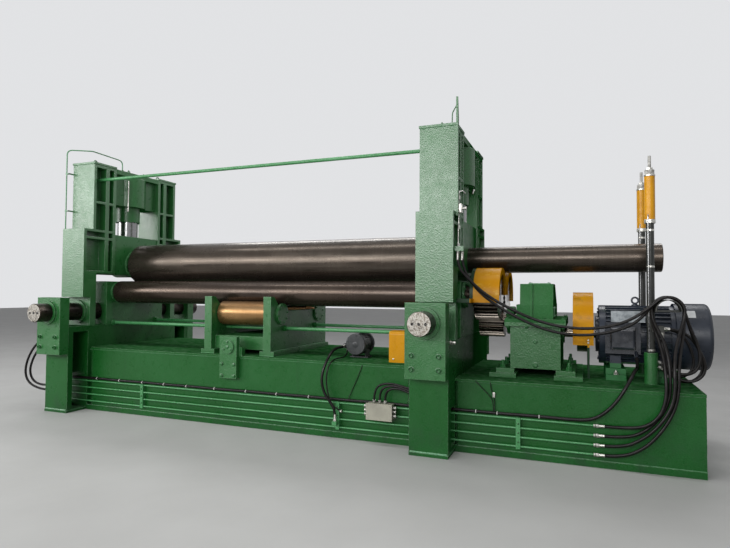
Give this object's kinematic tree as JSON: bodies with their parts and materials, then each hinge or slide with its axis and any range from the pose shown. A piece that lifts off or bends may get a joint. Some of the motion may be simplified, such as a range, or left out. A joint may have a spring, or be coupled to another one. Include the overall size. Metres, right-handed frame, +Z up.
{
  "type": "three-roll hydraulic plate rolling machine",
  "caption": "Fixed plate bending machine: a large upper roll on hydraulic rams over two geared lower rolls, between two stepped stands on a welded base with its drive.",
  "frame": {"origin": "on the floor, midway between the two roll stands, under the upper roll's axis", "axes": "+X along the rolls towards the gears and motor, +Y from the operating side to the rear, +Z up"},
  "size_m": [8.054, 2.9, 3.507],
  "materials": {
    "green_paint": "hammered gloss enamel, worn at edges",
    "yellow_paint": "gloss enamel",
    "blue_paint": "satin enamel",
    "roll_steel": "turned forged steel, oiled and browned",
    "gear_steel": "oiled",
    "machined_steel": "turned",
    "chrome_rod": "polished",
    "bronze": "worn bright, oiled",
    "dark_steel": "dark, oiled",
    "cable_rubber": "matt black",
    "grey_plastic": "moulded"
  },
  "bodies": {
    "machine_frame": {"base_drive_section": "green_paint", "base_roll_section": "green_paint", "cable_bundle": "cable_rubber", "coupling_guard": "yellow_paint", "drive_base_pipes": "green_paint", "front_adjuster": "green_paint", "front_gear_hood": "yellow_paint", "front_tail_cylinder": "dark_steel", "gearbox_case": "green_paint", "gearbox_cover": "green_paint", "junction_box": "grey_plastic", "left_crosshead": "green_paint", "left_front_post": "green_paint", "left_hose_inner": "cable_rubber", "left_hose_outer": "cable_rubber", "left_keeper_blocks": "green_paint", "left_lower_frame": "green_paint", "left_lower_housing": "green_paint", "left_main_cylinder": "green_paint", "left_rear_post": "green_paint", "left_shift_rods": "machined_steel", "motor_coupling": "gear_steel", "motor_fan_cover": "blue_paint", "motor_frame": "blue_paint", "motor_terminal_box": "blue_paint", "post_hose_front": "cable_rubber", "post_hose_rear": "cable_rubber", "pump_guard": "yellow_paint", "pump_hose": "cable_rubber", "pump_motor": "dark_steel", "rear_adjuster": "green_paint", "rear_gear_hood": "yellow_paint", "rear_tail_cylinder": "dark_steel", "right_crosshead": "green_paint", "right_front_post": "green_paint", "right_keeper_blocks": "green_paint", "right_lower_frame": "green_paint", "right_lower_housing": "green_paint", "right_main_cylinder": "green_paint", "right_rear_post": "green_paint", "right_shift_rods": "machined_steel", "roll_base_pipes": "green_paint", "stay_rods": "green_paint", "support_bracket": "green_paint", "tail_hose_front": "cable_rubber", "tail_hose_rear": "cable_rubber", "tail_pedestals": "green_paint", "top_tie_pipe": "green_paint"},
    "lift_carriage": {"left_piston_rod": "chrome_rod", "left_upper_bearing": "green_paint", "right_piston_rod": "chrome_rod", "right_upper_bearing": "green_paint"},
    "upper_roll_body": {"upper_roll": "roll_steel"},
    "front_roll_body": {"front_lower_roll": "roll_steel", "front_roll_gear": "gear_steel"},
    "rear_roll_body": {"rear_lower_roll": "roll_steel", "rear_roll_gear": "gear_steel"},
    "pinion_body": {"drive_pinion": "gear_steel"},
    "front_support_body": {"front_support_roller": "bronze"},
    "rear_support_body": {"rear_support_roller": "bronze"}
  },
  "joints": [
    {"name": "upper_roll_lift", "type": "slide", "parent": "machine_frame", "child": "lift_carriage", "axis": [0, 0, 1], "range_m": [-0.075, 0.18]},
    {"name": "upper_roll_spin", "type": "hinge", "parent": "lift_carriage", "child": "upper_roll_body", "pos_m": [0, 0, 1.90599], "axis": [1, 0, 0], "continuous": true},
    {"name": "front_roll_spin", "type": "hinge", "parent": "machine_frame", "child": "front_roll_body", "pos_m": [0, -0.315, 1.52], "axis": [1, 0, 0], "continuous": true},
    {"name": "rear_roll_spin", "type": "hinge", "parent": "machine_frame", "child": "rear_roll_body", "pos_m": [0, 0.315, 1.52], "axis": [1, 0, 0], "continuous": true},
    {"name": "pinion_spin", "type": "hinge", "parent": "machine_frame", "child": "pinion_body", "pos_m": [2.858, 0, 1.24828], "axis": [1, 0, 0], "continuous": true},
    {"name": "front_support_spin", "type": "hinge", "parent": "machine_frame", "child": "front_support_body", "pos_m": [0, -0.48, 1.27498], "axis": [1, 0, 0], "continuous": true},
    {"name": "rear_support_spin", "type": "hinge", "parent": "machine_frame", "child": "rear_support_body", "pos_m": [0, 0.48, 1.27498], "axis": [1, 0, 0], "continuous": true}
  ],
  "couplings": [
    {"joint": "rear_roll_spin", "follows": "front_roll_spin", "ratio": 1},
    {"joint": "pinion_spin", "follows": "front_roll_spin", "ratio": -1.4762},
    {"joint": "front_support_spin", "follows": "front_roll_spin", "ratio": -1.0345},
    {"joint": "rear_support_spin", "follows": "front_roll_spin", "ratio": -1.0345}
  ]
}
